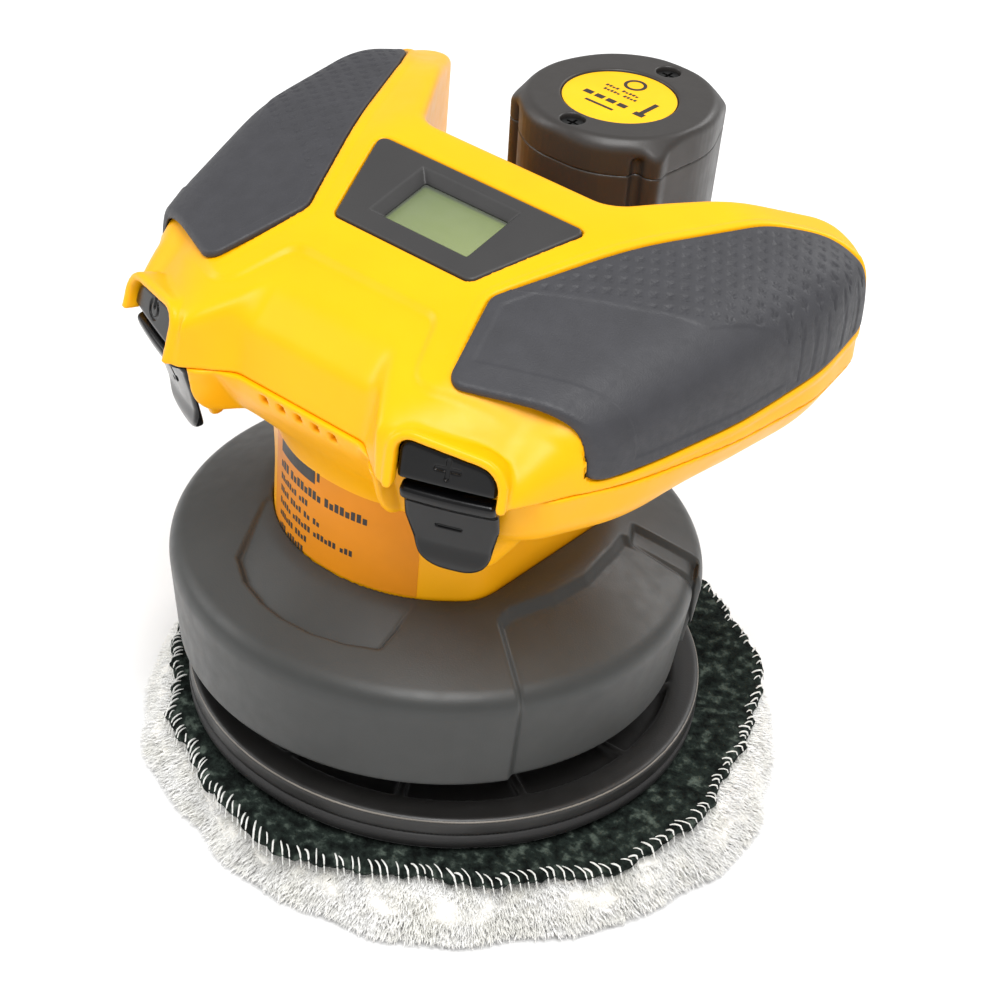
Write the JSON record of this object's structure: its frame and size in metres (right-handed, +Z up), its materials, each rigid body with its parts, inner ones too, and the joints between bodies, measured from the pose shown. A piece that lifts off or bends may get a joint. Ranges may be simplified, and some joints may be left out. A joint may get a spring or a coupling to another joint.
{
  "type": "rotary polisher",
  "caption": "Cordless two-handed random-orbital polisher: butterfly handle with grips, keys and display, round skirt, backing plate and wool bonnet.",
  "frame": {"origin": "on the motor axis, on the wool bonnet's underside", "axes": "+Z up the motor axis, -Y towards the display and keys, +Y towards the battery, +X to the user's right"},
  "size_m": [0.196, 0.196, 0.1885],
  "materials": {
    "yellow_shell": "satin moulded plastic",
    "soft_grip": "fine-grained soft overmould",
    "charcoal_plastic": "matte moulded plastic",
    "clear_lens": "clear",
    "lcd_panel": "grey-green display",
    "circuit_board": "solder-masked board",
    "bright_steel": "zinc-plated",
    "black_steel": "black oxide",
    "gloss_key": "glossy",
    "orange_film": "satin film",
    "skirt_plastic": "satin moulded plastic",
    "magnet": "sintered",
    "bronze": "machined",
    "carbon": "carbon",
    "lead_wire": "insulated wire",
    "armature_iron": "laminations and copper windings",
    "cast_alloy": "as cast",
    "plate_plastic": "filled nylon",
    "plate_foam": "dense foam",
    "hook_fabric": "hook tape",
    "loop_cloth": "brushed loop cloth",
    "wool_pile": "lambswool pile",
    "battery_plastic": "textured moulded plastic",
    "yellow_film": "printed film",
    "cell_wrap": "shrink wrap"
  },
  "bodies": {
    "housing": {"upper_housing": "yellow_shell", "lower_housing": "yellow_shell", "grip_right": "soft_grip", "grip_left": "soft_grip", "housing_screws": "black_steel", "display_bezel": "charcoal_plastic", "display_lens": "clear_lens", "lcd_module": "lcd_panel", "display_board": "circuit_board", "main_circuit_board": "circuit_board", "board_screws": "bright_steel", "key_switches_right": "circuit_board", "key_switches_left": "circuit_board", "neck_label": "orange_film", "skirt_shroud": "skirt_plastic", "skirt_screws": "black_steel", "motor_mount_plate": "bright_steel", "mount_plate_screws": "black_steel", "motor_screws": "bright_steel", "motor_can": "bright_steel", "motor_magnets": "magnet", "front_bearing": "bright_steel", "rear_bush": "bronze", "motor_end_cap": "charcoal_plastic", "motor_brushes": "carbon", "motor_terminals": "bronze", "motor_leads": "lead_wire", "dock_terminals": "bronze"},
    "rotor": {"motor_shaft": "bright_steel", "armature": "armature_iron", "cooling_fan": "charcoal_plastic", "eccentric_hub": "cast_alloy", "hub_grub_screw": "black_steel", "pad_bearings": "bright_steel"},
    "pad": {"pad_spindle": "bright_steel", "plate_screws": "black_steel", "plate_carrier": "plate_plastic", "plate_foam": "plate_foam", "hook_layer": "hook_fabric", "bonnet_backing": "loop_cloth", "wool_bonnet": "wool_pile"},
    "speed_up": {"speed_up_key": "gloss_key"},
    "speed_down": {"speed_down_key": "gloss_key"},
    "power": {"power_key": "gloss_key"},
    "mode": {"mode_key": "gloss_key"},
    "battery": {"battery_case": "battery_plastic", "battery_cap": "battery_plastic", "battery_label": "yellow_film", "battery_screws": "black_steel", "battery_cells": "cell_wrap", "cell_holder": "charcoal_plastic", "battery_contacts": "bronze"},
    "battery_release": {"release_button": "charcoal_plastic"}
  },
  "joints": [
    {"name": "rotor_spin", "type": "hinge", "parent": "housing", "child": "rotor", "pos_m": [0, 0, 0.055], "axis": [0, 0, 1], "continuous": true},
    {"name": "pad_spin", "type": "hinge", "parent": "rotor", "child": "pad", "pos_m": [0.00477, 0.0015, 0.045], "axis": [0, 0, 1], "continuous": true},
    {"name": "speed_up_press", "type": "slide", "parent": "housing", "child": "speed_up", "axis": [-0.3759, 0.9048, -0.2], "range_m": [0, 0.001], "stiffness_N_per_m": 600},
    {"name": "power_press", "type": "slide", "parent": "housing", "child": "power", "axis": [0.3759, 0.9048, -0.2], "range_m": [0, 0.001], "stiffness_N_per_m": 600},
    {"name": "speed_down_press", "type": "hinge", "parent": "housing", "child": "speed_down", "pos_m": [0.04992, -0.05989, 0.14027], "axis": [0.9233, 0.3841, 0], "range_deg": [0, 4], "stiffness_Nm_per_rad": 0.6},
    {"name": "mode_press", "type": "hinge", "parent": "housing", "child": "mode", "pos_m": [-0.04992, -0.05989, 0.14027], "axis": [0.9233, -0.3841, 0], "range_deg": [0, 4], "stiffness_Nm_per_rad": 0.6},
    {"name": "battery_slide", "type": "slide", "parent": "housing", "child": "battery", "axis": [0, 0, 1], "range_m": [0, 0.056]},
    {"name": "release_press", "type": "slide", "parent": "housing", "child": "battery_release", "axis": [0, -1, 0], "range_m": [0, 0.001], "stiffness_N_per_m": 500}
  ]
}
